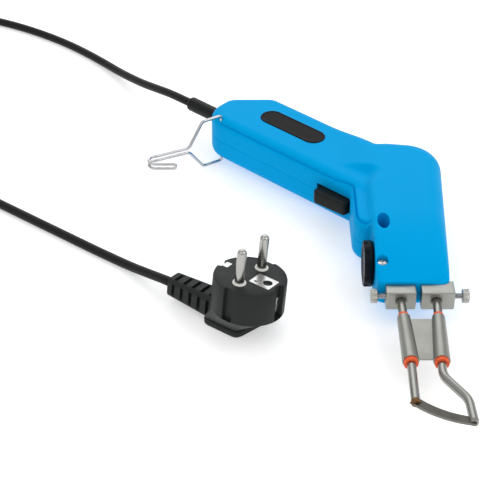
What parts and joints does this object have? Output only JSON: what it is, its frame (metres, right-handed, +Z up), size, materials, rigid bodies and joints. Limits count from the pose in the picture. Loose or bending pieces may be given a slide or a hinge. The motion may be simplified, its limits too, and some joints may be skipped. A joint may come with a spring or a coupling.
{
  "type": "electric hot knife",
  "caption": "Pistol-shaped electric hot knife with a blue split housing, trigger, heat dial, clamped bent blade on two legs, wire hanging hook, mains cord and round-pin plug.",
  "frame": {"origin": "middle of the flat on the far side of the head that the tool lies on, below the line between the blade legs", "axes": "+X across the head to its back, +Y from the blade to the crown, +Z up out of the flat"},
  "size_m": [0.3451, 0.4181, 0.054],
  "materials": {
    "housing": "moulded bright blue plastic, satin gloss",
    "nameplate": "black lacquered plate, blank",
    "fasteners": "zinc plated steel",
    "black_plastic": "moulded black plastic",
    "plunger": "white nylon",
    "dial": "black plastic with a pale index mark",
    "regulator": "grey moulding",
    "shaft": "bright steel",
    "core": "varnished steel laminations",
    "copper": "enamelled and bare copper",
    "carrier": "heat resistant moulding",
    "terminals": "satin nickel plate",
    "legs": "polished nickel plate",
    "sleeves": "orange insulating tube",
    "link": "plain steel sheet",
    "blade": "heat darkened steel",
    "hook": "bright zinc plated wire",
    "cord": "black sheath",
    "brown_lead": "brown insulation",
    "blue_lead": "blue insulation",
    "plug": "moulded dark grey rubber",
    "contacts": "nickel plate"
  },
  "bodies": {
    "housing": {"near_shell": "housing", "far_shell": "housing", "nameplate": "nameplate", "housing_screws": "fasteners", "trigger_pin": "fasteners", "trigger_spring": "shaft", "switch_body": "black_plastic", "regulator_body": "regulator", "transformer_core": "core", "coil_former": "plunger", "primary_winding": "copper", "secondary_strap": "copper", "terminal_carrier": "carrier", "terminal_block_left": "terminals", "terminal_block_right": "terminals", "cord_boot": "cord", "cord_entry": "cord", "cord_clamp": "black_plastic", "cord_clamp_screws": "fasteners", "live_lead": "brown_lead", "neutral_lead": "blue_lead", "switched_lead": "brown_lead", "mains_cord": "cord", "cord_coil": "cord", "cord_tail": "cord", "plug_body": "plug", "plug_pins": "legs", "pin_collars": "plunger", "earth_clips": "contacts", "earth_contact": "contacts"},
    "trigger": {"trigger": "black_plastic"},
    "plunger": {"switch_plunger": "plunger"},
    "dial": {"heat_dial": "dial", "regulator_shaft": "shaft"},
    "stud_left": {"clamp_stud_left": "fasteners"},
    "stud_right": {"clamp_stud_right": "fasteners"},
    "knob_left": {"clamp_knob_left": "terminals"},
    "knob_right": {"clamp_knob_right": "terminals"},
    "blade_set": {"blade_leg_left": "legs", "blade_leg_right": "legs", "insulating_sleeves": "sleeves", "leg_link": "link", "blade": "blade"},
    "hook": {"hanging_hook": "hook"}
  },
  "joints": [
    {"name": "trigger_press", "type": "hinge", "parent": "housing", "child": "trigger", "pos_m": [-0.02193, 0.02256, 0.018], "axis": [0, 0, -1], "range_deg": [0, 10], "stiffness_Nm_per_rad": 0.3, "springref_deg": -8.59, "deforming": ["trigger_spring"]},
    {"name": "plunger_slide", "type": "slide", "parent": "housing", "child": "plunger", "axis": [0.6691, 0.7431, 0], "range_m": [0, 0.0032]},
    {"name": "dial_turn", "type": "hinge", "parent": "housing", "child": "dial", "pos_m": [-0.0233, -0.03, 0.018], "axis": [-1, 0, 0], "range_deg": [0, 270]},
    {"name": "stud_left_travel", "type": "slide", "parent": "housing", "child": "stud_left", "axis": [-1, 0, 0], "range_m": [0, 0.002]},
    {"name": "stud_right_travel", "type": "slide", "parent": "housing", "child": "stud_right", "axis": [1, 0, 0], "range_m": [0, 0.002]},
    {"name": "knob_left_turn", "type": "hinge", "parent": "stud_left", "child": "knob_left", "pos_m": [-0.0221, -0.0565, 0.018], "axis": [-1, 0, 0], "range_deg": [0, 1440]},
    {"name": "knob_right_turn", "type": "hinge", "parent": "stud_right", "child": "knob_right", "pos_m": [0.02382, -0.0565, 0.018], "axis": [1, 0, 0], "range_deg": [0, 1440]},
    {"name": "blade_set_pull", "type": "slide", "parent": "housing", "child": "blade_set", "axis": [0, -1, 0], "range_m": [0, 0.012]},
    {"name": "hook_swing", "type": "hinge", "parent": "housing", "child": "hook", "pos_m": [-0.09977, 0.08854, 0.018], "axis": [0, 0, 1], "range_deg": [-50, 70]}
  ],
  "couplings": [
    {"joint": "plunger_slide", "follows": "trigger_press", "m_per_rad": 0.01785},
    {"joint": "knob_left_turn", "follows": "stud_left_travel", "rad_per_m": 12566},
    {"joint": "knob_right_turn", "follows": "stud_right_travel", "rad_per_m": 12566}
  ]
}
